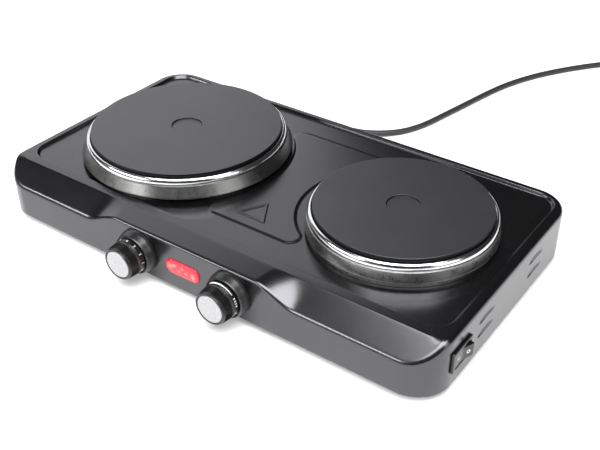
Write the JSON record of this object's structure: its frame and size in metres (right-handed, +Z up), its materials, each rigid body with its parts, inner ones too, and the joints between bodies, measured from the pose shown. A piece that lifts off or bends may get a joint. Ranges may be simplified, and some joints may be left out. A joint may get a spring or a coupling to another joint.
{
  "type": "hot plate burner",
  "caption": "Double electric hot plate: a large and a small cast-iron plate in steel drip rings on a black pressed-steel housing with front knobs, red lamp, side switch and mains lead.",
  "frame": {"origin": "middle of the hot plate's footprint (knob faces to strain relief, left wall to switch tip) on the worktop, the free lead left out", "axes": "+X to the right along the long side, +Y to the back, away from the knobs, +Z up"},
  "size_m": [0.48, 0.7423, 0.0785],
  "materials": {
    "enamel": "satin black baked enamel on pressed steel",
    "zinc": "galvanised sheet",
    "iron": "matte heat-proof coating, finely turned",
    "stainless": "polished lip, brushed skirt",
    "heater": "oxidised heater sheath",
    "steel": "zinc-plated",
    "plastic": "moulded, satin",
    "silver": "spun brushed face",
    "lens": "clear red moulded lens",
    "lamp": "glass neon lamp",
    "white": "heat-proof moulding",
    "rubber": "soft matte",
    "lead": "smooth dark grey sheath",
    "brass": "bright pins",
    "blue": "wire insulation",
    "brown": "wire insulation"
  },
  "bodies": {
    "hot_plate": {"top_housing": "enamel", "base_plate": "zinc", "foot_front_left": "rubber", "foot_front_right": "rubber", "foot_rear_left": "rubber", "foot_rear_right": "rubber", "foot_middle_left": "rubber", "foot_middle_right": "rubber", "base_screw_1": "steel", "base_screw_2": "steel", "base_screw_3": "steel", "base_screw_4": "steel", "large_plate": "iron", "large_plate_ring": "stainless", "large_heating_ring": "heater", "large_heat_shield": "zinc", "large_crossbar": "steel", "large_centre_stud": "steel", "large_stud_nut": "steel", "large_thermal_fuse": "white", "small_plate": "iron", "small_plate_ring": "stainless", "small_heating_ring": "heater", "small_heat_shield": "zinc", "small_crossbar": "steel", "small_centre_stud": "steel", "small_stud_nut": "steel", "small_thermal_fuse": "white", "left_knob_collar": "plastic", "left_regulator": "white", "right_knob_collar": "plastic", "right_regulator": "white", "indicator_lens": "lens", "indicator_holder": "white", "neon_lamp_left": "lamp", "neon_lamp_right": "lamp", "switch_housing": "plastic", "terminal_block": "white", "cord_clamp": "white", "strain_relief": "rubber", "wire_large_plate": "brown", "wire_small_plate": "brown", "wire_switch_feed": "blue", "power_cord": "lead", "cord_coil": "lead", "cord_tail": "lead", "plug_body": "plastic", "plug_pin_left": "brass", "plug_pin_right": "brass"},
    "left_knob_body": {"left_knob": "plastic", "left_knob_cap": "silver", "left_regulator_shaft": "steel"},
    "right_knob_body": {"right_knob": "plastic", "right_knob_cap": "silver", "right_regulator_shaft": "steel"},
    "rocker_body": {"switch_rocker": "plastic"}
  },
  "joints": [
    {"name": "left_knob_turn", "type": "hinge", "parent": "hot_plate", "child": "left_knob_body", "pos_m": [-0.0579, -0.14, 0.0305], "axis": [0, 1, 0], "range_deg": [-120, 150]},
    {"name": "right_knob_turn", "type": "hinge", "parent": "hot_plate", "child": "right_knob_body", "pos_m": [0.0451, -0.14, 0.0305], "axis": [0, 1, 0], "range_deg": [-230, 40]},
    {"name": "switch_rocker_tilt", "type": "hinge", "parent": "hot_plate", "child": "rocker_body", "pos_m": [0.23385, -0.0855, 0.0315], "axis": [0, 0, 1], "range_deg": [0, 20]}
  ]
}
